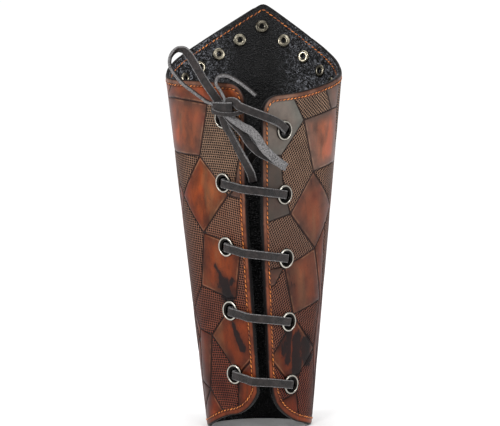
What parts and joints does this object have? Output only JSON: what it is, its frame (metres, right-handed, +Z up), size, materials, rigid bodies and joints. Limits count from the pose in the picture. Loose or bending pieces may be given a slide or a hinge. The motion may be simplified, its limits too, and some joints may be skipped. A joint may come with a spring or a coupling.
{
  "type": "leather bracer",
  "caption": "Laced leather forearm guard with a peaked back, embossed panels, stitched edges, metal eyelets and rivets, and a flat lace tied in a bow.",
  "frame": {"origin": "under the middle of the bracer, in the plane of the wrist end that it stands on", "axes": "+Z up along the forearm from wrist to elbow, -Y out of the laced front, +X to the right seen from the front"},
  "size_m": [0.106, 0.1187, 0.2495],
  "materials": {
    "embossed_leather": "burnished, satin",
    "black_lining": "grained, satin",
    "antique_nickel": "aged",
    "rivet_nickel": "satin",
    "lace_leather": "matt"
  },
  "bodies": {
    "root": {"outer_shell": "embossed_leather", "lining": "black_lining", "lace": "lace_leather", "lace_knot": "lace_leather", "loop_upper": "lace_leather", "loop_lower": "lace_leather", "tail_upper": "lace_leather", "tail_lower": "lace_leather", "eyelet_left_1": "antique_nickel", "eyelet_left_2": "antique_nickel", "eyelet_left_3": "antique_nickel", "eyelet_left_4": "antique_nickel", "eyelet_left_5": "antique_nickel", "eyelet_right_1": "antique_nickel", "eyelet_right_2": "antique_nickel", "eyelet_right_3": "antique_nickel", "eyelet_right_4": "antique_nickel", "eyelet_right_5": "antique_nickel", "rivet_center": "rivet_nickel", "rivet_left_1": "rivet_nickel", "rivet_left_2": "rivet_nickel", "rivet_left_3": "rivet_nickel", "rivet_left_4": "rivet_nickel", "rivet_right_1": "rivet_nickel", "rivet_right_2": "rivet_nickel", "rivet_right_3": "rivet_nickel", "rivet_right_4": "rivet_nickel"}
  },
  "joints": []
}
